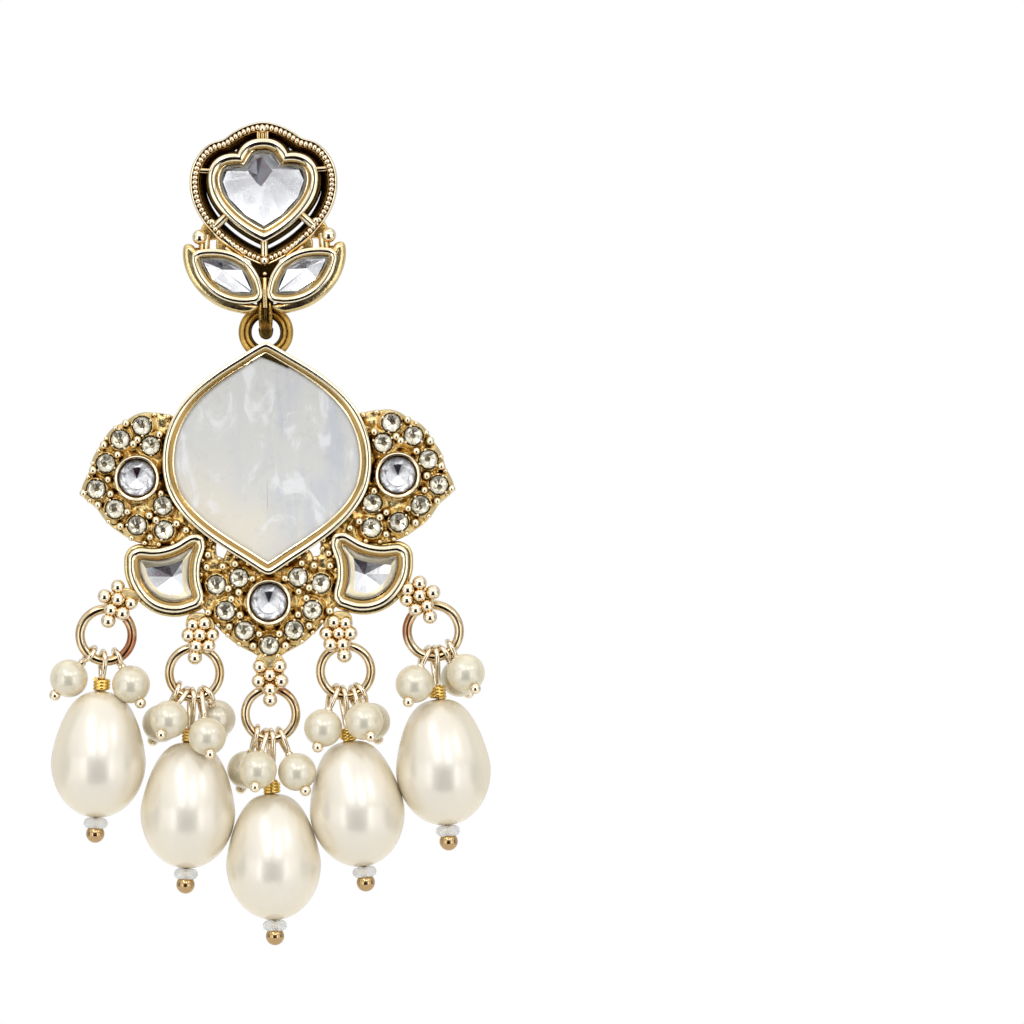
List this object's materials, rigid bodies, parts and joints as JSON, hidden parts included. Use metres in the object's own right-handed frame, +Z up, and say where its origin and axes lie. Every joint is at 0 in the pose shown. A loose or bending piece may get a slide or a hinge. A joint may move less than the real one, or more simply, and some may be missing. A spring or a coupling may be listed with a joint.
{
  "type": "chandbali earring",
  "caption": "Gold chandbali drop earring: beaded stud with heart and leaf stones, a swinging jewelled pendant with a mother-of-pearl diamond, and hanging pearl drops.",
  "frame": {"origin": "where the ear post meets the flat back of the stud, behind the middle of the heart stone", "axes": "+Z up, -Y out of the front of the earring, +Y along the ear post into the ear, +X to the right seen from the front"},
  "size_m": [0.0467, 0.017, 0.0868],
  "materials": {
    "gold": "polished light antique gold plating, dark in its crevices",
    "silver_gold": "polished pale champagne gold plating",
    "foiled_glass": "clear faceted glass over a silver foil",
    "mother_of_pearl": "polished milky mother-of-pearl with pale blue-grey wisps",
    "pearl": "cream pearl coating with a soft sheen"
  },
  "bodies": {
    "stud": {"stud_frame": "gold", "stud_heart_stone": "foiled_glass", "stud_leaf_stone_left": "foiled_glass", "stud_leaf_stone_right": "foiled_glass"},
    "pendant": {"pendant_frame": "gold", "mother_of_pearl_stone": "mother_of_pearl", "crescent_stone_left": "foiled_glass", "crescent_stone_right": "foiled_glass", "round_stone_left": "foiled_glass", "round_stone_right": "foiled_glass", "round_stone_bottom": "foiled_glass", "jump_ring_1": "silver_gold", "jump_ring_2": "silver_gold", "jump_ring_3": "silver_gold", "jump_ring_4": "silver_gold", "jump_ring_5": "silver_gold", "drop_pearl_1": "pearl", "drop_pearl_2": "pearl", "drop_pearl_3": "pearl", "drop_pearl_4": "pearl", "drop_pearl_5": "pearl", "drop_pin_1": "silver_gold", "drop_pin_2": "silver_gold", "drop_pin_3": "silver_gold", "drop_pin_4": "silver_gold", "drop_pin_5": "silver_gold", "small_pearl_1a": "pearl", "small_pearl_1b": "pearl", "small_pearl_2a": "pearl", "small_pearl_2b": "pearl", "small_pearl_2c": "pearl", "small_pearl_2d": "pearl", "small_pearl_3a": "pearl", "small_pearl_3b": "pearl", "small_pearl_3c": "pearl", "small_pearl_4a": "pearl", "small_pearl_4b": "pearl", "small_pearl_4c": "pearl", "small_pearl_5a": "pearl", "small_pearl_5b": "pearl", "small_pearl_5c": "pearl", "small_pin_1a": "silver_gold", "small_pin_1b": "silver_gold", "small_pin_2a": "silver_gold", "small_pin_2b": "silver_gold", "small_pin_2c": "silver_gold", "small_pin_2d": "silver_gold", "small_pin_3a": "silver_gold", "small_pin_3b": "silver_gold", "small_pin_3c": "silver_gold", "small_pin_4a": "silver_gold", "small_pin_4b": "silver_gold", "small_pin_4c": "silver_gold", "small_pin_5a": "silver_gold", "small_pin_5b": "silver_gold", "small_pin_5c": "silver_gold"}
  },
  "joints": [
    {"name": "pendant_swing", "type": "hinge", "parent": "stud", "child": "pendant", "pos_m": [0.00019, -0.0009, -0.01221], "axis": [1, 0, 0], "range_deg": [-30, 30]}
  ]
}
